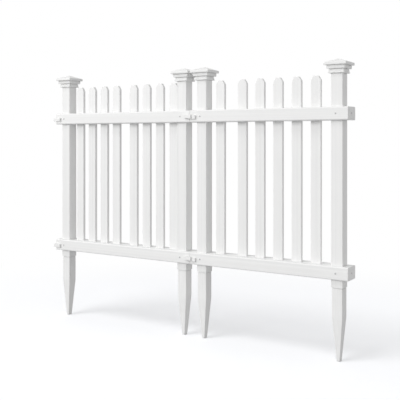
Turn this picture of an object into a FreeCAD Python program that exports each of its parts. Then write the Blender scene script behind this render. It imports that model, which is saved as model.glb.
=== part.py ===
import FreeCAD, Part
import os
import Sketcher

# Two bays of white plastic picket fence, joined end to end by hooks and keepers.
# X runs along the fence, the front looks along -Y, and Z is up from the stake tips.
# The origin is the middle of the flat tip under the first post.

SIZES = {
    # Stakes plug into the posts from below and are driven into the ground.
    "tip_width": 14.0,
    "tip_depth": 22.0,
    "stake_taper": 175.0,
    "stake_straight": 118.0,
    "stake_insert": 60.0,
    "stake_wall": 3.0,
    "stake_clearance": 0.3,
    # Posts are square tubes that pass through both rails.
    "post_width": 50.0,
    "post_wall": 2.2,
    "post_corner": 3.0,
    "post_below_rail": 33.0,
    "post_above_rail": 132.5,
    "left_post_spacing": 696.0,
    "right_post_spacing": 628.0,
    # Rails are hollow boxes laid flat, closed by a moulded plate at each end.
    "rail_height": 53.0,
    "rail_depth": 80.0,
    "rail_wall": 2.5,
    "rail_corner": 5.0,
    "rail_spacing": 626.5,
    "rail_overhang": 27.0,
    "seam_gap": 1.0,
    "route_clearance": 0.3,
    "end_plate": 3.0,
    "end_bevel": 1.8,
    "end_plug": 12.0,
    "end_plug_wall": 2.5,
    "end_hole": 7.0,
    # Pickets stand on the floor of the bottom rail and pass through the top rail.
    "picket_width": 43.5,
    "picket_thickness": 14.0,
    "picket_wall": 1.8,
    "picket_corner": 1.5,
    "picket_above_rail": 128.0,
    "picket_head": 24.0,
    "dog_ear_width": 11.0,
    "dog_ear_height": 17.5,
    "left_first_picket": 79.0,
    "left_pitch": 76.0,
    "left_wide_extra": 27.0,
    "right_first_picket": 85.0,
    "right_pitch": 84.4,
    "right_wide_extra": 24.4,
    # Caps are moulded steps under a low pyramid, set over the post tops.
    "cap_clearance": 0.3,
    "cap_socket": 36.0,
    "cap_bead_round": 2.5,
    "cap_neck": 63.0,
    "cap_neck_height": 18.0,
    "cap_cove_round": 7.0,
    "cap_step_height": 9.0,
    "cap_eave": 94.0,
    "cap_eave_height": 9.5,
    "cap_eave_round": 2.0,
    "cap_peak_height": 15.5,
    "cap_point": 4.0,
    "trim_margin": 5.0,
    # Hooks and keepers stand on the front of the rails and hold bay to bay.
    "hook_length": 31.0,
    "hook_reach": 10.0,
    "hook_proud": 7.0,
    "hook_tongue": 3.2,
    "hook_height": 16.0,
    "hook_drop": 4.0,
    "keeper_length": 25.0,
    "keeper_lip": 12.0,
    "keeper_proud": 12.0,
    "keeper_height": 17.0,
    "latch_clearance": 0.4,
    "latch_edge": 1.2,
}

# Heights that follow from the sizes, each from the one below it.
POST_FOOT = "sizes.stake_taper + sizes.stake_straight"
BOTTOM_RAIL = POST_FOOT + " + sizes.post_below_rail + sizes.rail_height / 2"
TOP_RAIL = BOTTOM_RAIL + " + sizes.rail_spacing"
CAP_FOOT = TOP_RAIL + " + sizes.rail_height / 2 + sizes.post_above_rail"
PICKET_TOP = TOP_RAIL + " + sizes.rail_height / 2 + sizes.picket_above_rail"
RAIL_LEVELS = {"top": TOP_RAIL, "bottom": BOTTOM_RAIL}

# How many pickets stand before and after the wider gap in each bay.
PICKET_COUNTS = {"left_bay": (4, 4), "right_bay": (1, 5)}

doc = FreeCAD.newDocument("picket_fence")
sheet = doc.addObject("Spreadsheet::Sheet", "sizes")
for row, (alias, size) in enumerate(SIZES.items(), start=1):
    sheet.set("A%d" % row, alias)
    sheet.set("B%d" % row, str(size))
    sheet.setAlias("B%d" % row, alias)
doc.recompute()

pieces = []
TINY = 1e-6
LEAST_CUT = 1.0


def number(expression):
    """Present value of an expression on the sheet of sizes."""
    return float(sheet.evalExpression(expression))


def new_body(label, x, y, z, turned=False):
    """A body whose place in the fence is bound to the sheet."""
    body = doc.addObject("PartDesign::Body", label)
    body.Label = label
    if turned:
        body.Placement = FreeCAD.Placement(
            FreeCAD.Vector(0, 0, 0), FreeCAD.Rotation(FreeCAD.Vector(0, 0, 1), 180))
    body.setExpression("Placement.Base.x", x)
    body.setExpression("Placement.Base.y", y)
    body.setExpression("Placement.Base.z", z)
    pieces.append(body)
    return body


def new_sketch(body, name, role, offset="0"):
    """A sketch on one of the body's own planes, raised along its normal."""
    sketch = body.newObject("Sketcher::SketchObject", name)
    plane = [item for item in body.Origin.OriginFeatures if item.Role == role][0]
    sketch.AttachmentSupport = [(plane, "")]
    sketch.MapMode = "FlatFace"
    sketch.setExpression("AttachmentOffset.Base.z", offset)
    return sketch


def hold(sketch, curve, point, axis, expression):
    """Hold a point of a curve at a signed distance from the sketch's origin."""
    size = number(expression)
    if abs(size) < TINY:
        axis_line = {"X": -2, "Y": -1}[axis]
        sketch.addConstraint(Sketcher.Constraint("PointOnObject", curve, point, axis_line))
    elif size < 0:
        index = sketch.addConstraint(
            Sketcher.Constraint("Distance" + axis, curve, point, -1, 1, -size))
        sketch.setExpression("Constraints[%d]" % index, "-(%s)" % expression)
    else:
        index = sketch.addConstraint(
            Sketcher.Constraint("Distance" + axis, -1, 1, curve, point, size))
        sketch.setExpression("Constraints[%d]" % index, expression)


def arc_about(centre, start, end):
    """An arc about a centre, drawn anticlockwise from start to end."""
    radius = (start - centre).Length
    circle = Part.Circle(centre, FreeCAD.Vector(0, 0, 1), radius)
    return Part.ArcOfCircle(circle, circle.parameter(start), circle.parameter(end))


def outline(sketch, corners):
    """A closed outline through corners, given as pairs of expressions.

    A corner may have a third entry, the centre of the arc that runs from it to the next corner.
    """
    points = [FreeCAD.Vector(number(x), number(y), 0) for x, y, *bend in corners]
    sides = []
    for corner, start, end in zip(corners, points, points[1:] + points[:1]):
        x, y, *bend = corner
        if not bend:
            sides.append((sketch.addGeometry(Part.LineSegment(start, end), False), 1, 2))
            continue
        centre = FreeCAD.Vector(*[number(place) for place in bend[0]])
        if (start - centre).cross(end - centre).z > 0:
            sides.append((sketch.addGeometry(arc_about(centre, start, end), False), 1, 2))
        else:
            sides.append((sketch.addGeometry(arc_about(centre, end, start), False), 2, 1))
    for side, after in zip(sides, sides[1:] + sides[:1]):
        sketch.addConstraint(Sketcher.Constraint("Coincident", side[0], side[2], after[0], after[1]))
    for corner, (curve, first, last) in zip(corners, sides):
        x, y, *bend = corner
        hold(sketch, curve, first, "X", x)
        hold(sketch, curve, first, "Y", y)
        if bend:
            hold(sketch, curve, 3, "X", bend[0][0])


def mirrored(half):
    """A whole outline from its right half, listed from the foot up."""
    flipped = []
    bend_below = []
    for x, y, *bend in half:
        flipped.append(("-(%s)" % x, y, *bend_below))
        bend_below = [("-(%s)" % across, up) for across, up in bend]
    return half + flipped[::-1]


def rectangle(sketch, width, depth, x="0", y="0"):
    """A rectangle of the given width and depth about a middle point."""
    left, right = "%s - (%s) / 2" % (x, width), "%s + (%s) / 2" % (x, width)
    front, back = "%s - (%s) / 2" % (y, depth), "%s + (%s) / 2" % (y, depth)
    outline(sketch, [(left, front), (right, front), (right, back), (left, back)])


def pad(body, sketch, name, length, turned=False):
    """Material from a sketch along its normal, or against it when turned."""
    feature = body.newObject("PartDesign::Pad", name)
    feature.Profile = sketch
    feature.Reversed = turned
    feature.setExpression("Length", length)
    doc.recompute()
    return feature


def pocket(body, sketch, name, length, turned=False):
    """A cut from a sketch against its normal, or along it when turned."""
    before = body.Shape.Volume
    feature = body.newObject("PartDesign::Pocket", name)
    feature.Profile = sketch
    feature.Reversed = turned
    feature.setExpression("Length", length)
    doc.recompute()
    if body.Shape.Volume > before - LEAST_CUT:
        raise RuntimeError("%s of %s cut nothing" % (name, body.Label))
    return feature


def dress_edges(body, feature, name, kind, size, test):
    """Fillet or chamfer the edges whose middle point and direction pass a test."""
    chosen = []
    for index, edge in enumerate(feature.Shape.Edges, start=1):
        start, end = edge.Vertexes[0].Point, edge.Vertexes[-1].Point
        if test((start + end) * 0.5, end - start):
            chosen.append("Edge%d" % index)
    dressing = body.newObject("PartDesign::" + kind, name)
    dressing.Base = (feature, chosen)
    dressing.setExpression({"Fillet": "Radius", "Chamfer": "Size"}[kind], size)
    doc.recompute()
    return dressing


def along(axis):
    """A test that passes every edge lying along one axis."""
    unit = {"x": FreeCAD.Vector(1, 0, 0), "z": FreeCAD.Vector(0, 0, 1)}[axis]

    def test(middle, run):
        return run.Length > TINY and abs(run.dot(unit)) > run.Length - TINY
    return test


def crossed_profiles(body, front, side, width, depth, height):
    """A form with one outline from the front and another from the side, mitred at its corners.

    The front outline is padded through the depth, and what lies outside the side outline is cut away.
    """
    label = body.Label
    face = new_sketch(body, label + "_front", "XZ_Plane", "-(%s) / 2" % depth)
    outline(face, front)
    pad(body, face, label + "_through", depth)
    reach = "(%s) / 2 + sizes.trim_margin" % width
    trim = new_sketch(body, label + "_side", "YZ_Plane", reach)
    rectangle(trim, "%s + 2 * sizes.trim_margin" % depth,
              "%s + 2 * sizes.trim_margin" % height, y="(%s) / 2" % height)
    outline(trim, side)
    pocket(body, trim, label + "_trimmed", "2 * (%s)" % reach)


def make_post(label, x):
    """A square tube from just under the bottom rail up into its cap."""
    length = "%s + sizes.cap_socket - sizes.cap_clearance - (%s)" % (CAP_FOOT, POST_FOOT)
    body = new_body(label, x, "0", POST_FOOT)
    section = new_sketch(body, label + "_section", "XY_Plane")
    rectangle(section, "sizes.post_width", "sizes.post_width")
    tube = pad(body, section, label + "_run", length)
    dress_edges(body, tube, label + "_corners", "Fillet", "sizes.post_corner", along("z"))
    inner = new_sketch(body, label + "_inside", "XY_Plane")
    inside = "sizes.post_width - 2 * sizes.post_wall"
    rectangle(inner, inside, inside)
    pocket(body, inner, label + "_hollow", length, turned=True)


def make_stake(label, x):
    """A tapered ground stake with a hollow square shank for the post."""
    width = "sizes.post_width - 2 * sizes.post_wall - 2 * sizes.stake_clearance"
    half = "(%s) / 2" % width
    top = POST_FOOT + " + sizes.stake_insert"
    body = new_body(label, x, "0", "0")
    front = mirrored([("sizes.tip_width / 2", "0"), (half, "sizes.stake_taper"), (half, top)])
    side = mirrored([("sizes.tip_depth / 2", "0"), (half, "sizes.stake_taper"), (half, top)])
    crossed_profiles(body, front, side, width, width, top)
    mouth = new_sketch(body, label + "_mouth", "XY_Plane", top)
    inside = "%s - 2 * sizes.stake_wall" % width
    rectangle(mouth, inside, inside)
    pocket(body, mouth, label + "_hollow", "sizes.stake_straight + sizes.stake_insert")


def make_cap(label, x):
    """A moulded cap: bead, neck, cove, step and eave under a low pyramid."""
    body = new_body(label, x, "0", CAP_FOOT)
    neck, eave = "sizes.cap_neck / 2", "sizes.cap_eave / 2"
    step = neck + " + sizes.cap_cove_round"
    step_foot = "sizes.cap_neck_height + sizes.cap_cove_round"
    eave_foot = step_foot + " + sizes.cap_step_height"
    eave_top = eave_foot + " + sizes.cap_eave_height"
    nosing = eave + " - sizes.cap_eave_round"
    peak = eave_top + " + sizes.cap_peak_height"
    bead_middle = (neck, "sizes.cap_bead_round")
    cove_middle = (step, "sizes.cap_neck_height")
    lower_round = (nosing, eave_foot + " + sizes.cap_eave_round")
    upper_round = (nosing, eave_top + " - sizes.cap_eave_round")
    profile = mirrored([
        (neck, "0", bead_middle),
        (neck + " + sizes.cap_bead_round", "sizes.cap_bead_round", bead_middle),
        (neck, "2 * sizes.cap_bead_round"),
        (neck, "sizes.cap_neck_height", cove_middle),
        (step, step_foot),
        (step, eave_foot),
        (nosing, eave_foot, lower_round),
        (eave, lower_round[1]),
        (eave, upper_round[1], upper_round),
        (nosing, eave_top),
        ("sizes.cap_point / 2", peak),
    ])
    crossed_profiles(body, profile, profile, "sizes.cap_eave", "sizes.cap_eave", peak)
    mouth = new_sketch(body, label + "_mouth", "XY_Plane")
    inside = "sizes.post_width + 2 * sizes.cap_clearance"
    rectangle(mouth, inside, inside)
    pocket(body, mouth, label + "_socket", "sizes.cap_socket", turned=True)


def make_rail(label, x, middle, length, picket_places, post_places, open_below):
    """A hollow box rail routed for its posts and pickets."""
    body = new_body(label, x, "0", middle)
    section = new_sketch(body, label + "_section", "YZ_Plane")
    rectangle(section, "sizes.rail_depth", "sizes.rail_height")
    bar = pad(body, section, label + "_run", length)
    dress_edges(body, bar, label + "_corners", "Fillet", "sizes.rail_corner", along("x"))
    inner = new_sketch(body, label + "_inside", "YZ_Plane")
    rectangle(inner, "sizes.rail_depth - 2 * sizes.rail_wall",
              "sizes.rail_height - 2 * sizes.rail_wall")
    pocket(body, inner, label + "_hollow", length, turned=True)
    posts = new_sketch(body, label + "_post_routes", "XY_Plane", "sizes.rail_height / 2")
    route = "sizes.post_width + 2 * sizes.route_clearance"
    for place in post_places:
        rectangle(posts, route, route, place)
    pocket(body, posts, label + "_post_slots", "sizes.rail_height")
    pickets = new_sketch(body, label + "_picket_routes", "XY_Plane", "sizes.rail_height / 2")
    for place in picket_places:
        rectangle(pickets, "sizes.picket_width + 2 * sizes.route_clearance",
                  "sizes.picket_thickness + 2 * sizes.route_clearance", place)
    depth = "sizes.rail_height" if open_below else "sizes.rail_height / 2"
    pocket(body, pickets, label + "_picket_slots", depth)


def make_end(label, x, middle, turned):
    """A moulded plate with a hollow plug that closes one end of a rail."""
    body = new_body(label, x, "0", middle, turned)
    face = new_sketch(body, label + "_face", "YZ_Plane")
    rectangle(face, "sizes.rail_depth", "sizes.rail_height")
    plate = pad(body, face, label + "_plate", "sizes.end_plate")
    corners = dress_edges(
        body, plate, label + "_corners", "Fillet", "sizes.rail_corner", along("x"))
    outer = number("sizes.end_plate")
    dress_edges(body, corners, label + "_rim", "Chamfer", "sizes.end_bevel",
                lambda middle, run: middle.x > outer - TINY)
    plug = new_sketch(body, label + "_plug_face", "YZ_Plane")
    depth = "sizes.rail_depth - 2 * sizes.rail_wall - 2 * sizes.route_clearance"
    height = "sizes.rail_height - 2 * sizes.rail_wall - 2 * sizes.route_clearance"
    rectangle(plug, depth, height)
    pad(body, plug, label + "_plug", "sizes.end_plug", turned=True)
    inner = new_sketch(body, label + "_plug_inside", "YZ_Plane")
    rectangle(inner, depth + " - 2 * sizes.end_plug_wall",
              height + " - 2 * sizes.end_plug_wall")
    pocket(body, inner, label + "_plug_hollow", "sizes.end_plug")
    mouth = new_sketch(body, label + "_hole_mouth", "YZ_Plane")
    mouth.addGeometry(Part.Circle(
        FreeCAD.Vector(0, 0, 0), FreeCAD.Vector(0, 0, 1), number("sizes.end_hole") / 2), False)
    mouth.addConstraint(Sketcher.Constraint("Coincident", 0, 3, -1, 1))
    index = mouth.addConstraint(
        Sketcher.Constraint("Diameter", 0, number("sizes.end_hole")))
    mouth.setExpression("Constraints[%d]" % index, "sizes.end_hole")
    pocket(body, mouth, label + "_hole", "sizes.end_plate", turned=True)


def make_picket(label, x):
    """A hollow dog-eared picket with a closed head."""
    foot = BOTTOM_RAIL + " - sizes.rail_height / 2 + sizes.rail_wall + sizes.route_clearance"
    length = "%s - (%s)" % (PICKET_TOP, foot)
    body = new_body(label, x, "0", foot)
    face = new_sketch(body, label + "_face", "XZ_Plane", "-sizes.picket_thickness / 2")
    half = "sizes.picket_width / 2"
    outline(face, mirrored([(half, "0"), (half, length + " - sizes.dog_ear_height"),
                            (half + " - sizes.dog_ear_width", length)]))
    board = pad(body, face, label + "_board", "sizes.picket_thickness")
    dress_edges(body, board, label + "_corners", "Fillet", "sizes.picket_corner", along("z"))
    mouth = new_sketch(body, label + "_mouth", "XY_Plane")
    rectangle(mouth, "sizes.picket_width - 2 * sizes.picket_wall",
              "sizes.picket_thickness - 2 * sizes.picket_wall")
    pocket(body, mouth, label + "_hollow", "%s - sizes.picket_head" % length, turned=True)


def make_latch_block(label, x, middle, height, front, corners):
    """A block on the front of a rail, with its plan as corners and its front edges rounded."""
    body = new_body(label, x, "-sizes.rail_depth / 2", middle)
    plan = new_sketch(body, label + "_plan", "XY_Plane", "-%s / 2" % height)
    outline(plan, corners)
    block = pad(body, plan, label + "_block", height)
    near = number(front)
    dress_edges(body, block, label + "_edges", "Fillet", "sizes.latch_edge",
                lambda middle, run: middle.y < near + TINY)


def make_hook(label, x, middle):
    """A hook block with a tongue that reaches past the end of its rail."""
    front, back = "-sizes.hook_proud", "-sizes.hook_proud + sizes.hook_tongue"
    make_latch_block(
        label, x, middle + " - sizes.hook_drop", "sizes.hook_height", front,
        [("-sizes.hook_reach", front), ("sizes.hook_length", front),
         ("sizes.hook_length", "0"), ("sizes.latch_clearance", "0"),
         ("sizes.latch_clearance", back), ("-sizes.hook_reach", back)])


def make_keeper(label, x, middle):
    """A keeper block beside the seam whose lip covers the neighbour's tongue."""
    front, back = "-sizes.keeper_proud", "-sizes.hook_proud - sizes.latch_clearance"
    root = "sizes.seam_gap - sizes.hook_reach - sizes.latch_clearance"
    reach = "sizes.seam_gap + sizes.keeper_lip"
    make_latch_block(
        label, x, middle, "sizes.keeper_height", front,
        [("-sizes.keeper_length", front), (reach, front), (reach, back),
         (root, back), (root, "0"), ("-sizes.keeper_length", "0")])


def make_bay(name, start):
    """One bay: its posts, caps and stakes, its rails with their ends, and its pickets."""
    side = name.split("_")[0]
    spacing = "sizes.%s_post_spacing" % side
    for hand, x in (("left", start), ("right", "%s + %s" % (start, spacing))):
        make_post("%s_%s_post" % (name, hand), x)
        make_stake("%s_%s_stake" % (name, hand), x)
        make_cap("%s_%s_post_cap" % (name, hand), x)
    before_gap, after_gap = PICKET_COUNTS[name]
    offsets = []
    for index in range(before_gap + after_gap):
        offset = "sizes.%s_first_picket + %d * sizes.%s_pitch" % (side, index, side)
        if index >= before_gap:
            offset += " + sizes.%s_wide_extra" % side
        offsets.append(offset)
        make_picket("%s_picket_%d" % (name, index + 1), "%s + %s" % (start, offset))
    inset = "sizes.post_width / 2 + sizes.rail_overhang - sizes.end_plate"
    length = "%s + 2 * (%s)" % (spacing, inset)
    left_end = "%s - (%s)" % (start, inset)
    right_end = "%s + %s + %s" % (start, spacing, inset)
    picket_places = ["%s + %s" % (inset, offset) for offset in offsets]
    post_places = [inset, "%s + %s" % (inset, spacing)]
    for level, middle in RAIL_LEVELS.items():
        label = "%s_%s_rail" % (name, level)
        make_rail(label, left_end, middle, length, picket_places, post_places, level == "top")
        make_end(label + "_left_end", left_end, middle, True)
        make_end(label + "_right_end", right_end, middle, False)
        make_hook("%s_%s_hook" % (name, level), left_end + " - sizes.end_plate", middle)
    return right_end + " + sizes.end_plate"


RIGHT_START = ("sizes.left_post_spacing + sizes.post_width + 2 * sizes.rail_overhang"
               " + sizes.seam_gap")
seam = make_bay("left_bay", "0")
make_bay("right_bay", RIGHT_START)
for level, middle in RAIL_LEVELS.items():
    make_keeper("left_bay_%s_keeper" % level, seam, middle)
doc.recompute()

os.makedirs("parts", exist_ok=True)
for item in doc.Objects:
    if "Invalid" in item.State or "Error" in item.State:
        raise RuntimeError("%s did not compute" % item.Label)
for piece in pieces:
    if piece.Shape.isNull() or not piece.Shape.isValid() or len(piece.Shape.Solids) != 1:
        raise RuntimeError("%s is not one sound solid" % piece.Label)
for piece in pieces:
    piece.Shape.exportStep("parts/%s.step" % piece.Label)
print("pieces made:", len(pieces))
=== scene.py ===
# %% [markdown]
# A white plastic picket fence of two bays, standing on four ground stakes. The imported model comes
# first, because it is the fixed frame that every later piece takes its place from.

# %% Load the frame
import math
import bpy
import numpy as np
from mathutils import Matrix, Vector


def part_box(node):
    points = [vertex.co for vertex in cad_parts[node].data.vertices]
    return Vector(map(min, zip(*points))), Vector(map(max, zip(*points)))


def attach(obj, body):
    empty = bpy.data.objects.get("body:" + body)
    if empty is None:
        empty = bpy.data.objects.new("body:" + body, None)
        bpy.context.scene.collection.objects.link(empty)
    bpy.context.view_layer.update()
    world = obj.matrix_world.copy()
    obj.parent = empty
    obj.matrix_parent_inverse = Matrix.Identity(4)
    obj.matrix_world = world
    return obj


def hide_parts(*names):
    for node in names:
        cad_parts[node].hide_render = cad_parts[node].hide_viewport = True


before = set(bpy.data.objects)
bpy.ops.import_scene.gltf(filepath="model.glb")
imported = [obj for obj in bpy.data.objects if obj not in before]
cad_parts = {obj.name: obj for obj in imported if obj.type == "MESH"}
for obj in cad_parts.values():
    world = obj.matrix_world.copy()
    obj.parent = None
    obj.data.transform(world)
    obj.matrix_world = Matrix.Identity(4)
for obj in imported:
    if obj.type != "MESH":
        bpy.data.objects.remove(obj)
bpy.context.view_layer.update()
MM = 0.001
print("nodes loaded:", len(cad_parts))

# %% [markdown]
# The photograph was taken from the front, well to the right of the fence, with the camera held level. A
# level camera keeps the posts upright in the picture. It could be tilted down to bring the stakes in,
# but then the posts would lean, so a small lens shift moves the picture down instead.

# %% Camera
CAMERA_PLACE = (2.489, -2.693, 0.874)
CAMERA_TURN = math.radians(32.44)
CAMERA_LEVEL = math.radians(90.0)
SENSOR_MM = 36.0
LENS_MM = 64.67
PICTURE_SHIFT = -0.1497

lens = bpy.data.cameras.new("photo_camera")
lens.sensor_width = SENSOR_MM
lens.lens = LENS_MM
lens.shift_y = PICTURE_SHIFT
camera = bpy.data.objects.new("photo_camera", lens)
camera.location = CAMERA_PLACE
camera.rotation_euler = (CAMERA_LEVEL, 0.0, CAMERA_TURN)
bpy.context.collection.objects.link(camera)
bpy.context.scene.camera = camera
print("camera at", CAMERA_PLACE)

# %% [markdown]
# A finish is a tree of shader nodes. Written as links between sockets it is hard to read, so one small
# class wraps a socket, and plain Python arithmetic on it adds the Math nodes. Every other node comes
# from one function, which sets the node's own settings first and then fills or links its sockets.

# %% Shader expressions
class Value:
    """A socket of a node tree, with arithmetic that adds Math nodes."""

    def __init__(self, tree, socket):
        self.tree = tree
        self.socket = socket

    def math(self, operation, first, second):
        return make_node(self.tree, "ShaderNodeMath", {"operation": operation}, {0: first, 1: second})

    def __add__(self, other):
        return self.math("ADD", self, other)

    __radd__ = __add__

    def __mul__(self, other):
        return self.math("MULTIPLY", self, other)

    __rmul__ = __mul__

    def __sub__(self, other):
        return self.math("SUBTRACT", self, other)

    def __rsub__(self, other):
        return self.math("SUBTRACT", other, self)


def make_node(tree, kind, settings=None, sockets=None, output=0):
    """Add a node, set its own settings, fill or link its sockets, and give back one of its outputs."""
    made = tree.nodes.new(kind)
    for name, setting in (settings or {}).items():
        setattr(made, name, setting)
    for name, content in (sockets or {}).items():
        if isinstance(content, Value):
            tree.links.new(content.socket, made.inputs[name])
        else:
            made.inputs[name].default_value = content
    return Value(tree, made.outputs[output] if made.outputs else None)


def new_tree(owner):
    """Give a material or world an empty node tree."""
    owner.use_nodes = True
    owner.node_tree.nodes.clear()
    return owner.node_tree


print("shader expressions can add, subtract and multiply")

# %% [markdown]
# Every finish here needs cloudy noise and a mix of two colours. Both are one node each, and these two
# helpers only save writing out their sockets again for every finish.

# %% Noise and colour
SOFT_DETAIL = 2.0
RICH_DETAIL = 3.0


def noise(tree, spot, scale, detail):
    """Cloudy noise between 0 and 1 at a place, with so many clouds a metre."""
    sockets = {"Vector": spot, "Scale": scale, "Detail": detail}
    return make_node(tree, "ShaderNodeTexNoise", None, sockets, "Fac")


def mix_colours(tree, factor, first, second):
    """The first colour where the factor is 0, the second where it is 1, and a straight mix in between."""
    sockets = {"Factor": factor, "A": first, "B": second}
    return make_node(tree, "ShaderNodeMix", {"data_type": "RGBA"}, sockets, "Result")


print("noise with a detail of", SOFT_DETAIL, "or", RICH_DETAIL)

# %% [markdown]
# The fence is made of drawn and moulded white plastic. Drawn profiles carry faint lines along their
# length from the die, moulded pieces a fine pebble grain from the tool, and both drift a little in tone
# and gloss. One flat white would hide all of that, and a picture of plastic would have to be wrapped
# round every piece. So each finish mixes two close whites and varies its roughness and relief by noise,
# which fills space and needs no wrapping. The noise is stretched along X for the rails and along Z for
# everything upright.

# %% Plastic finishes
PALE_WHITE = (0.88, 0.88, 0.875, 1.0)
DEEP_WHITE = (0.78, 0.78, 0.777, 1.0)
CLOUDS_PER_METRE = 7.0
CLOUD_TONE = 0.4
LINE_TONE = 1.2
TONE_START = 0.3
LINE_RELIEF = 0.55
GRAIN_RELIEF = 0.45
RELIEF_STRENGTH = 0.5
GRAIN_ROUGHNESS = 0.12
CLOUD_ROUGHNESS = 0.10
PLASTIC_IOR = 1.5


def plastic(name, lines_per_metre, grain_per_metre, base_roughness, relief_depth):
    """White plastic. Lines are noise squeezed by a different amount along each axis, grain is fine noise
    and clouds are coarse noise. The tone adds a share of clouds to a share of lines, the relief a share
    of lines to a share of grain, and the roughness a share of grain and one of clouds to its base."""
    finish = bpy.data.materials.new(name)
    tree = new_tree(finish)
    spot = make_node(tree, "ShaderNodeTexCoord", output="Object")
    squeezed = make_node(tree, "ShaderNodeMapping", None, {"Vector": spot, "Scale": lines_per_metre})
    lines = noise(tree, squeezed, 1.0, RICH_DETAIL)
    grain = noise(tree, spot, grain_per_metre, SOFT_DETAIL)
    cloud = noise(tree, spot, CLOUDS_PER_METRE, RICH_DETAIL)
    tone = mix_colours(tree, CLOUD_TONE * cloud + LINE_TONE * lines - TONE_START, PALE_WHITE, DEEP_WHITE)
    height = LINE_RELIEF * lines + GRAIN_RELIEF * grain
    bump = {"Strength": RELIEF_STRENGTH, "Distance": relief_depth, "Height": height}
    relief = make_node(tree, "ShaderNodeBump", None, bump, "Normal")
    rough = base_roughness + GRAIN_ROUGHNESS * grain + CLOUD_ROUGHNESS * cloud
    surface = make_node(tree, "ShaderNodeBsdfPrincipled", None,
                        {"Base Color": tone, "Roughness": rough, "Normal": relief, "IOR": PLASTIC_IOR})
    make_node(tree, "ShaderNodeOutputMaterial", None, {"Surface": surface})
    print("finish", name)
    return finish


upright_plastic = plastic("drawn_upright_plastic", lines_per_metre=(170, 170, 0.7), grain_per_metre=900.0,
                          base_roughness=0.30, relief_depth=0.06 * MM)
rail_plastic = plastic("drawn_rail_plastic", lines_per_metre=(0.7, 170, 170), grain_per_metre=900.0,
                       base_roughness=0.30, relief_depth=0.06 * MM)
moulded_plastic = plastic("moulded_plastic", lines_per_metre=(90, 90, 90), grain_per_metre=1500.0,
                          base_roughness=0.34, relief_depth=0.08 * MM)
stake_plastic = plastic("stake_plastic", lines_per_metre=(160, 160, 12), grain_per_metre=1100.0,
                        base_roughness=0.42, relief_depth=0.1 * MM)

# %% [markdown]
# Posts, rails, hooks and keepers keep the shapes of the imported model, which are already right, and only
# take a finish. The other nodes take one too, although rounder pieces will stand for them. The node's
# name says what it is, so the name picks the finish.

# %% Finish the nodes
def finish_for(node):
    """The finish that a node's name calls for."""
    if node.endswith("_rail"):
        return rail_plastic
    if node.endswith("_stake"):
        return stake_plastic
    if node.endswith("_post") or "_picket_" in node:
        return upright_plastic
    return moulded_plastic


for node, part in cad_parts.items():
    for holder in part.material_slots:
        holder.material = finish_for(node)
print("finished nodes:", len(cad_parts))

# %% [markdown]
# Caps, pickets, stakes, rail ends and screw heads have one thing in common: cut across, each is a
# rectangle with rounded corners. So one surface makes them all. Its first parameter runs round the
# rectangle and its second runs through a list of stations, each with its height, half sizes and corner
# radius. Bevelled boxes could give the same edges, but not mouldings that swell and shrink, and a list
# of stations reads like a maker's drawing.

# %% Rounded sections
CORNER_STEPS = 7
SIDE_HOLDS = np.array([[0.1], [0.9]])
CORNER_SIGN_X = np.array([1, -1, -1, 1])[:, None]
CORNER_SIGN_Y = np.array([1, 1, -1, -1])[:, None]
QUARTER_TURN = np.pi / 2


def section_rings(half_width, half_depth, corner):
    """Rounded rectangles, one a station. Each corner is a quarter circle about a point set in from both
    sides by the radius, and each straight side gets two more points near its ends, which keep the shading
    flat."""
    steps = np.linspace(0.0, 1.0, CORNER_STEPS)[None, :]
    angle = (np.arange(len(CORNER_SIGN_X))[:, None] + steps) * QUARTER_TURN
    radius = corner[:, None, None]
    x = CORNER_SIGN_X * (half_width[:, None, None] - radius) + radius * np.cos(angle)
    y = CORNER_SIGN_Y * (half_depth[:, None, None] - radius) + radius * np.sin(angle)
    arcs = np.stack([x, y], axis=-1)
    leave = arcs[:, :, -1:]
    arrive = np.roll(arcs[:, :, :1], -1, axis=1)
    sides = leave + (arrive - leave) * SIDE_HOLDS
    return np.concatenate([arcs, sides], axis=2).reshape(len(corner), -1, 2)


points_round = len(CORNER_SIGN_X) * (CORNER_STEPS + len(SIDE_HOLDS))
print("points round each section:", points_round)

# %% [markdown]
# The rings of a stack are joined by four-sided faces. Most stacks are open and get a flat face at each
# end. One that goes down a hole and comes back over the rim is a loop, and its last ring joins the
# first. The same stack may stand up or lie along the fence, so three axes say where its width, its
# depth and its height point.

# %% Stacks of sections
SHARP_ANGLE = math.radians(38.0)
UPRIGHT = np.array([(1, 0, 0), (0, 1, 0), (0, 0, 1)], float)
FRONT = np.array([(1, 0, 0), (0, 0, 1), (0, -1, 0)], float)
RIGHT = np.array([(0, 1, 0), (0, 0, 1), (1, 0, 0)], float)
LEFT = np.array([(0, -1, 0), (0, 0, 1), (-1, 0, 0)], float)


def stacked_mesh(name, stations, place, axes, looped=False):
    """Point (i, j) is the j-th point round the i-th station's rectangle, raised to that station's height,
    turned onto the axes and moved to its place. Stations are in millimetres, the place is in metres."""
    height, half_width, half_depth, corner = np.asarray(stations, float).T * MM
    rings = section_rings(half_width, half_depth, corner)
    rows, around = rings.shape[:2]
    level = np.broadcast_to(height[:, None, None], (rows, around, 1))
    points = np.concatenate([rings, level], axis=-1) @ axes + np.array(place, float)
    index = np.arange(rows * around).reshape(rows, around)
    near = index if looped else index[:-1]
    far = np.roll(index, -1, axis=0) if looped else index[1:]
    quads = np.stack([near, np.roll(near, -1, axis=1), np.roll(far, -1, axis=1), far], axis=-1)
    faces = quads.reshape(-1, 4).tolist()
    if not looped:
        faces += [index[0, ::-1].tolist(), index[-1].tolist()]
    mesh = bpy.data.meshes.new(name)
    mesh.from_pydata(points.reshape(-1, 3).tolist(), [], faces)
    mesh.shade_smooth()
    mesh.set_sharp_from_angle(angle=SHARP_ANGLE)
    return mesh


print("edges stay sharp past", round(math.degrees(SHARP_ANGLE)), "degrees")
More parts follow.
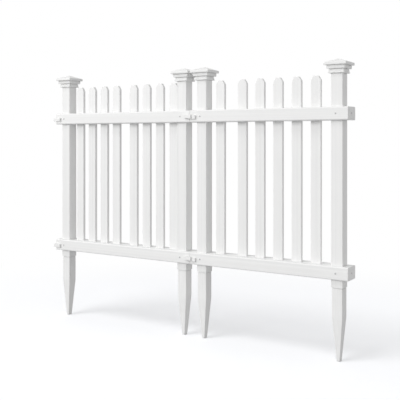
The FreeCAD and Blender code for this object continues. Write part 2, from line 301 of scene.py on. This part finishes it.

# %% [markdown]
# Nothing on this fence moves, so every piece rides on its one body. A finer piece hides the node it
# stands for. The node stays in the model for collision, and the renders show the piece in its stead.

# %% Adding a piece
def add_piece(mesh, finish, node=None):
    """Put a mesh on the fence. It rides on the one body, and may stand for a node of the frame."""
    mesh.materials.append(finish)
    piece = bpy.data.objects.new(mesh.name, mesh)
    bpy.context.collection.objects.link(piece)
    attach(piece, "root")
    if node:
        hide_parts(node)


def nodes_ending(*endings):
    """The names of the frame's nodes with one of these endings, in order."""
    return sorted(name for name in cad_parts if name.endswith(endings))


print("caps to finish:", nodes_ending("_post_cap"))

# %% [markdown]
# A post cap is a moulding carried round a square: a bead over the post, a neck, a step with a gently
# coved face, an eave with a rounded nose and a low pyramid. A thin groove under the step and another
# under the eave give the crisp shadow lines of the real one. A stack of bevelled boxes would come near
# it, but a profile keeps every height and overhang in one list. It is drawn once, from the roof of the
# socket down, out and up to the point.

# %% Cap profile
SOCKET_HALF = 25.3
SOCKET_DEPTH = 36.0
LIP_EASE = 0.8
BEAD_ROUND = 2.5
NECK_HALF = 31.5
STEP_FOOT = 17.5
STEP_FOOT_HALF = 38.4
STEP_EDGE = 1.0
STEP_SHADOW = 3.4
COVE_ROUND = 60.0
COVE_END = 171
STEP_HEAD_HALF = 39.3
EAVE_FOOT = 32.0
EAVE_HALF = 45.0
EAVE_HEAD = 43.5
EAVE_SHADOW = 2.4
NOSE_ROUND = 2.0
NOSE_END = 70
GROOVE_DEEP = 1.8
GROOVE_EASE = 0.2
PYRAMID = [(40.0, 45.42), (12.0, 55.36), (2.2, 58.75), (1.2, 58.95), (0.4, 59.0)]


def arc(centre, radius, start, stop, count):
    """Points on a circle between two angles in degrees, as rows of half size and height."""
    angle = np.radians(np.linspace(start, stop, count))
    return np.stack([centre[0] + radius * np.cos(angle), centre[1] + radius * np.sin(angle)], axis=1)


def groove(wall, ceiling, tall):
    """A thin groove in a wall, close under what overhangs it, as rows of half size and height."""
    sill = ceiling - tall
    back = wall - GROOVE_DEEP
    return [(wall, sill), (back, sill + GROOVE_EASE), (back, ceiling - GROOVE_EASE)]


cap_profile = np.concatenate([
    [(SOCKET_HALF, SOCKET_DEPTH), (SOCKET_HALF, LIP_EASE), (SOCKET_HALF + LIP_EASE, 0.0)],
    arc((NECK_HALF, BEAD_ROUND), BEAD_ROUND, -90, 90, count=11),
    groove(NECK_HALF, STEP_FOOT, STEP_SHADOW),
    arc((STEP_FOOT_HALF - STEP_EDGE, STEP_FOOT + STEP_EDGE), STEP_EDGE, -90, 0, count=4),
    arc((STEP_FOOT_HALF + COVE_ROUND, STEP_FOOT + 2 * STEP_EDGE), COVE_ROUND, 180, COVE_END, count=5),
    groove(STEP_HEAD_HALF, EAVE_FOOT, EAVE_SHADOW),
    arc((EAVE_HALF, EAVE_FOOT + NOSE_ROUND), NOSE_ROUND, -90, 0, count=6),
    arc((EAVE_HALF, EAVE_HEAD - NOSE_ROUND), NOSE_ROUND, 0, NOSE_END, count=6),
    PYRAMID,
])
print("points in the cap's profile:", len(cap_profile))

# %% [markdown]
# In timber such a cap would be run in lengths and mitred at the corners. This one comes out of a mould,
# so its mitres are slightly rounded: every square of the stack gets the same small corner, and less
# only near the point.

# %% Post caps
MITRE_ROUND = 1.6
MITRE_SHARE = 0.95

cap_half, cap_height = cap_profile.T
cap_corner = np.minimum(MITRE_ROUND, MITRE_SHARE * cap_half)
cap_stations = np.stack([cap_height, cap_half, cap_half, cap_corner], axis=1)

for node in nodes_ending("_post_cap"):
    low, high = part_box(node)
    middle = (low + high) / 2
    mesh = stacked_mesh(node + "_moulding", cap_stations, (middle.x, middle.y, low.z), UPRIGHT)
    add_piece(mesh, moulded_plastic, node)
print("caps:", len(nodes_ending("_post_cap")), "with", len(cap_stations), "stations each")

# %% [markdown]
# A picket is a flat hollow board with its two top corners cut off, closed by a head. The cut edges of a
# real one are softened where the head is welded on, which a plain cut would not show. So the board is a
# stack whose half width runs straight, then eases into the slope of the ears, and whose last stations
# turn over at the top.

# %% Pickets
EAR_WIDTH = 11.0
EAR_HEIGHT = 17.5
EAR_SOFT = 0.9
EAR_LEAD = 4.0
EAR_ROWS = 14
BOARD_STOP = 8.0
BOARD_ROWS = 6
PICKET_CORNER = 1.5
HEAD_ROUND = 1.4
EDGE_TURN = np.radians(np.linspace(0.0, 80.0, 5))


def soft_ramp(distance, softness):
    """Zero before a line and the distance past it after, eased between the two. The formula is the
    softness times the logarithm of one plus e to the power of distance over softness."""
    return softness * np.logaddexp(0.0, distance / softness)


def turned_edge(radius):
    """The rise and the inset along a rounded edge, as shares of its radius: the sine, stretched to end at
    one, and one less the cosine. It stops short of a quarter turn, so that a flat face can close it."""
    rise = radius * np.sin(EDGE_TURN) / np.sin(EDGE_TURN[-1])
    return rise, radius * (1 - np.cos(EDGE_TURN))


rise, turned_in = turned_edge(HEAD_ROUND)
picket_nodes = [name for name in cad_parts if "_picket_" in name]

for node in picket_nodes:
    low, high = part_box(node)
    middle = (low + high) / 2
    width, depth, length = (high - low) / MM
    ear_foot = length - EAR_HEIGHT
    head_foot = length - HEAD_ROUND
    up = np.concatenate([np.linspace(0.0, ear_foot - BOARD_STOP, BOARD_ROWS),
                         np.linspace(ear_foot - EAR_LEAD, head_foot, EAR_ROWS)[:-1],
                         head_foot + rise])
    inset = np.concatenate([np.zeros(len(up) - len(rise)), turned_in])
    half_width = width / 2 - soft_ramp(up - ear_foot, EAR_SOFT) * EAR_WIDTH / EAR_HEIGHT - inset
    half_depth = depth / 2 - inset
    stations = np.stack([up, half_width, half_depth, np.full_like(up, PICKET_CORNER)], axis=1)
    mesh = stacked_mesh(node + "_board", stations, (middle.x, middle.y, low.z), UPRIGHT)
    add_piece(mesh, upright_plastic, node)
print("pickets:", len(picket_nodes))

# %% [markdown]
# Each post stands on a stake that is driven into the ground: a square shank that tapers to a blunt flat
# tip. Moulded plastic has no knife edges, so the taper eases into the shank and the tip's rim is turned
# over. A cone cut square would be quicker, but its hard line across the stake would catch the light.
# Where the shank goes into the post there is a dark line all round. A shallow groove just under the
# post's foot casts it. Painted into the finish, the line would look drawn when seen from close by.

# %% Stakes
TIP_HALF = np.array([7.0, 11.0])
TIP_ROUND = 1.5
SHANK_HALF = 22.5
STAKE_CORNER = 2.2
TAPER_LENGTH = 175.0
TAPER_SOFT = 3.0
BEND_REACH = 12.0
BEND_ROWS = 9
TAPER_STOP = 16.0
TAPER_ROWS = 8
SHANK_ROWS = [20.0, 60.0]
SHADOW_TALL = 3.2
SHADOW_DEEP = 2.0
SILL_EASE = 0.6
SHADOW_HIDDEN = 1.0
SQUARE_STEP = 0.01


def groove_rows(post_foot):
    """Heights and insets of the groove: an eased sill, a wall set back, which runs on a little way inside
    the post where nobody sees it, and the full shank again."""
    sill = post_foot - SHADOW_TALL
    top = post_foot + SHADOW_HIDDEN
    return [(sill - SILL_EASE, 0.0), (sill, SILL_EASE), (sill + SQUARE_STEP, SHADOW_DEEP),
            (top, SHADOW_DEEP), (top + SQUARE_STEP, 0.0)]


rise, turned_in = turned_edge(TIP_ROUND)
tip_rows = np.column_stack([TIP_ROUND - rise[::-1], turned_in[::-1]])
plain_up = np.concatenate([np.linspace(TIP_ROUND, TAPER_LENGTH - TAPER_STOP, TAPER_ROWS)[1:],
                           np.linspace(TAPER_LENGTH - BEND_REACH, TAPER_LENGTH + BEND_REACH, BEND_ROWS),
                           TAPER_LENGTH + np.array(SHANK_ROWS)])
plain_rows = np.column_stack([plain_up, np.zeros_like(plain_up)])

for node in nodes_ending("_stake"):
    low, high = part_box(node)
    middle = (low + high) / 2
    length = (high.z - low.z) / MM
    post_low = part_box(node.replace("_stake", "_post"))[0]
    post_foot = (post_low.z - low.z) / MM
    up, inset = np.concatenate([tip_rows, plain_rows, groove_rows(post_foot), [(length, 0.0)]]).T
    taper = soft_ramp(TAPER_LENGTH - up, TAPER_SOFT)[:, None] / TAPER_LENGTH
    half = SHANK_HALF - (SHANK_HALF - TIP_HALF) * taper - inset[:, None]
    stations = np.column_stack([up, half, np.full_like(up, STAKE_CORNER)])
    mesh = stacked_mesh(node + "_point", stations, (middle.x, middle.y, low.z), UPRIGHT)
    add_piece(mesh, stake_plastic, node)
print("stakes:", len(nodes_ending("_stake")), "with posts from", round(post_foot), "mm above the tip")

# %% [markdown]
# The open end of each rail is closed by a moulded end: a plate with a rounded rim, a hollow plug behind
# it that grips the inside of the rail, and a small hole in the middle. Cutting the hole with a boolean
# would leave long thin triangles, so the profile goes round as a closed loop instead: down the hole,
# along the plug, over the rim and back.

# %% Rail ends
PLATE = 3.0
RIM_ROUND = 1.0
RIM_CORNER = 5.0
LEAST_CORNER = 1.0
RIM_TURN = np.linspace(0.0, QUARTER_TURN, 6)
PLUG_GAP = 2.8
PLUG_INSIDE = 5.3
PLUG_DEPTH = 12.0
HOLE_HALF = 3.5
HOLE_EASE = 0.6
ROUND_SHARE = 0.97


def round_station(height, radius):
    """A station so round that it is nearly a circle."""
    return (height, radius, radius, ROUND_SHARE * radius)


def inset_station(height, half, inset):
    """The rail's own rounded rectangle, drawn in by the same amount all round."""
    return (height, half[0] - inset, half[1] - inset, max(RIM_CORNER - inset, LEAST_CORNER))


for node in nodes_ending("_left_end", "_right_end"):
    low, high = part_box(node)
    middle = (low + high) / 2
    half = ((high.y - low.y) / 2 / MM, (high.z - low.z) / 2 / MM)
    to_right = node.endswith("_right_end")
    face = high.x - PLATE * MM if to_right else low.x + PLATE * MM
    rim = [inset_station(PLATE - RIM_ROUND * (1 - np.sin(turn)), half, RIM_ROUND * (1 - np.cos(turn)))
           for turn in RIM_TURN]
    stations = [
        round_station(PLATE - HOLE_EASE, HOLE_HALF),
        round_station(0.0, HOLE_HALF),
        inset_station(0.0, half, PLUG_INSIDE),
        inset_station(-PLUG_DEPTH, half, PLUG_INSIDE),
        inset_station(-PLUG_DEPTH, half, PLUG_GAP),
        inset_station(0.0, half, PLUG_GAP),
        inset_station(0.0, half, 0.0),
        *rim,
        round_station(PLATE, HOLE_HALF + HOLE_EASE),
    ]
    axes = RIGHT if to_right else LEFT
    mesh = stacked_mesh(node + "_plate", stations, (face, middle.y, middle.z), axes, looped=True)
    add_piece(mesh, moulded_plastic, node)
print("rail ends:", len(nodes_ending("_left_end", "_right_end")))

# %% [markdown]
# The screws are plated steel that has dulled a little outdoors. Bare metal mirrors the studio and would
# look nearly white or black, so the metal is held just short of pure, with smears in its tone and shine
# and fine flecks in its relief.

# %% Plated steel
STEEL_PALE = (0.62, 0.62, 0.61, 1.0)
STEEL_DEEP = (0.47, 0.475, 0.48, 1.0)
STEEL_METAL = 0.85
STEEL_ROUGHNESS = 0.28
SMEAR_ROUGHNESS = 0.2
FLECKS_PER_METRE = 1800.0
FLECK_STRENGTH = 0.4
FLECK_DEPTH = 0.04 * MM
SMEARS_PER_METRE = 260.0

steel = bpy.data.materials.new("plated_steel")
tree = new_tree(steel)
spot = make_node(tree, "ShaderNodeTexCoord", output="Object")
fleck = noise(tree, spot, FLECKS_PER_METRE, RICH_DETAIL)
smear = noise(tree, spot, SMEARS_PER_METRE, SOFT_DETAIL)
tone = mix_colours(tree, smear, STEEL_PALE, STEEL_DEEP)
bump = {"Strength": FLECK_STRENGTH, "Distance": FLECK_DEPTH, "Height": fleck}
relief = make_node(tree, "ShaderNodeBump", None, bump, "Normal")
rough = STEEL_ROUGHNESS + SMEAR_ROUGHNESS * smear
surface = make_node(tree, "ShaderNodeBsdfPrincipled", None,
                    {"Base Color": tone, "Metallic": STEEL_METAL, "Roughness": rough, "Normal": relief})
make_node(tree, "ShaderNodeOutputMaterial", None, {"Surface": surface})
print("finish", steel.name)

# %% [markdown]
# A pan head screw holds each rail to each post from the front. It is small and pale, so what shows is
# its round rim and the dark square of the driver's recess. A ball pressed flat would show neither. One
# more stack makes it, from the shank inside the wall out over the domed head and down into the recess,
# where circles turn into squares.

# %% Screws
HEAD_HALF = 4.0
HEAD_HIGH = 1.7
HEAD_SUNK = 0.2
THREAD_HALF = 1.9
THREAD_LENGTH = 4.0
RECESS_HALF = 1.35
RECESS_DEPTH = 1.4
RECESS_EASE = 0.2
RECESS_DRAFT = 0.9
RECESS_CORNER = 0.3
RECESS_RIM_CORNER = 0.4


def square_station(height, half, corner):
    """A square station with slightly rounded corners."""
    return (height, half, half, corner)


dome = arc((HEAD_HALF - HEAD_HIGH, 0.0), HEAD_HIGH, 0, 90, count=7)
screw_stations = [
    round_station(-THREAD_LENGTH, THREAD_HALF),
    round_station(-HEAD_SUNK, THREAD_HALF),
    round_station(-HEAD_SUNK, HEAD_HALF),
    *[round_station(height, half) for half, height in dome],
    square_station(HEAD_HIGH, RECESS_HALF + RECESS_EASE, RECESS_RIM_CORNER),
    square_station(HEAD_HIGH - RECESS_EASE, RECESS_HALF, RECESS_CORNER),
    square_station(HEAD_HIGH - RECESS_DEPTH, RECESS_HALF * RECESS_DRAFT, RECESS_CORNER),
]

for bay in ("left_bay", "right_bay"):
    for level in ("top", "bottom"):
        rail_low, rail_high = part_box(f"{bay}_{level}_rail")
        for side in ("left", "right"):
            post_low, post_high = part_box(f"{bay}_{side}_post")
            place = ((post_low.x + post_high.x) / 2, rail_low.y, (rail_low.z + rail_high.z) / 2)
            mesh = stacked_mesh(f"{bay}_{level}_{side}_screw", screw_stations, place, FRONT)
            add_piece(mesh, steel)
print("screw heads", 2 * HEAD_HALF, "mm across, with", len(screw_stations), "stations each")

# %% [markdown]
# The fence stands on a wide sheet of white studio paper. A single square would do, but a small grid keeps
# its faces from being very large.

# %% Floor
FLOOR_REACH = 40.0
FLOOR_LINES = 9

across = np.linspace(-FLOOR_REACH, FLOOR_REACH, FLOOR_LINES)
floor_x, floor_y = np.meshgrid(across, across)
floor_points = np.stack([floor_x, floor_y, np.zeros_like(floor_x)], axis=-1)
cells = np.arange(floor_x.size).reshape(floor_x.shape)
floor_faces = np.stack([cells[:-1, :-1], cells[:-1, 1:], cells[1:, 1:], cells[1:, :-1]], axis=-1)
floor_mesh = bpy.data.meshes.new("studio_floor")
floor_mesh.from_pydata(floor_points.reshape(-1, 3).tolist(), [], floor_faces.reshape(-1, 4).tolist())
floor = bpy.data.objects.new("studio_floor", floor_mesh)
bpy.context.collection.objects.link(floor)
print("floor", 2 * FLOOR_REACH, "m across")

# %% [markdown]
# The paper has to look white in the picture and still show the fence's shadow. Strong light on it would
# do that, but would also burn out the fence. So rays from the camera, or off something glossy, see a
# paper brighter than the one that throws light back at the fence. Further away it fades into plain
# white, like the background.

# %% Studio paper
FENCE_MIDDLE = (0.7, 0.0, 0.6)
FADE_START = 1.0
FADE_END = 2.2
PAPER_SEEN = (1.39, 1.40, 1.425, 1.0)
PAPER_BOUNCE = (0.6, 0.6, 0.6, 1.0)
WHITE = (1.0, 1.0, 1.0, 1.0)


def seen_directly(tree):
    """One where the camera, or a shine or clear part in front of it, looks at a surface."""
    path = "ShaderNodeLightPath"
    shine = make_node(tree, path, output="Is Glossy Ray")
    clear = make_node(tree, path, output="Is Transmission Ray")
    seen = make_node(tree, path, output="Is Camera Ray")
    return seen.math("MAXIMUM", seen, shine.math("MAXIMUM", shine, clear))


paper = bpy.data.materials.new("studio_paper")
tree = new_tree(paper)
spot = make_node(tree, "ShaderNodeTexCoord", output="Object")
away = make_node(tree, "ShaderNodeVectorMath", {"operation": "DISTANCE"},
                 {0: spot, 1: (FENCE_MIDDLE[0], 0.0, 0.0)}, output="Value")
fade = make_node(tree, "ShaderNodeMapRange", {"interpolation_type": "SMOOTHSTEP"},
                 {"Value": away, "From Min": FADE_START, "From Max": FADE_END})
direct = seen_directly(tree)
tone = mix_colours(tree, direct, PAPER_BOUNCE, PAPER_SEEN)
plain = make_node(tree, "ShaderNodeBsdfDiffuse", sockets={"Color": tone})
glow = make_node(tree, "ShaderNodeEmission", sockets={"Color": WHITE, "Strength": 1.0})
faded = make_node(tree, "ShaderNodeMixShader", sockets={0: direct * fade, 1: plain, 2: glow})
make_node(tree, "ShaderNodeOutputMaterial", sockets={"Surface": faded})
floor_mesh.materials.append(paper)
print("paper fades to white between", FADE_START, "and", FADE_END, "m from the fence")

# %% [markdown]
# Around the studio everything is pale, and that fills the shaded sides evenly. A room of walls could be
# built for it, but an even world does the same. It is plain white to the camera and weaker to the
# fence.

# %% World
AMBIENT = 0.55

world = bpy.data.worlds.new("studio_world")
bpy.context.scene.world = world
tree = new_tree(world)
direct = seen_directly(tree)
strength = direct + (1 - direct) * AMBIENT
sky = make_node(tree, "ShaderNodeBackground", sockets={"Color": WHITE, "Strength": strength})
make_node(tree, "ShaderNodeOutputWorld", sockets={"Surface": sky})
print("world lights the fence at", AMBIENT)

# %% [markdown]
# The photograph has soft studio light. A broad key panel far off on the left, fairly low, makes the
# fronts bright and leaves the right sides grey. A weak panel on the right lifts those sides. A panel
# high in front lights the tops and throws the shadow on the floor. One strong lamp could light it all,
# but with hard black shadows. The floor in the photograph shows no shadow from the key, as if a flag
# kept its light off the paper. Light linking does the same here: the floor is in a collection that the
# key leaves out.

# %% Light panels
def panel_lamp(name, place, width, power):
    """A square soft box at a place, turned to face the middle of the fence."""
    light = bpy.data.lights.new(name, "AREA")
    light.energy = power
    light.size = width
    lamp = bpy.data.objects.new(name, light)
    lamp.location = place
    lamp.rotation_euler = (Vector(FENCE_MIDDLE) - Vector(place)).to_track_quat("-Z", "Y").to_euler()
    bpy.context.collection.objects.link(lamp)
    print(name, "of", power, "W at", place)
    return lamp


key = panel_lamp("key_panel", place=(-30.2, -30.9, 14.8), width=18.0, power=10400.0)
panel_lamp("front_panel", place=(8.1, -10.4, 2.9), width=5.0, power=150.0)
panel_lamp("top_panel", place=(-3.4, -9.1, 17.9), width=8.0, power=700.0)

flagged = bpy.data.collections.new("flagged_off_from_key")
flagged.objects.link(floor)
flagged.collection_objects[0].light_linking.link_state = "EXCLUDE"
key.light_linking.receiver_collection = flagged

# %% [markdown]
# Blender's usual view softens bright colours as film does, which would grey the whites. The Standard view
# shows a colour as it is written.

# %% View
bpy.context.scene.view_settings.view_transform = "Standard"
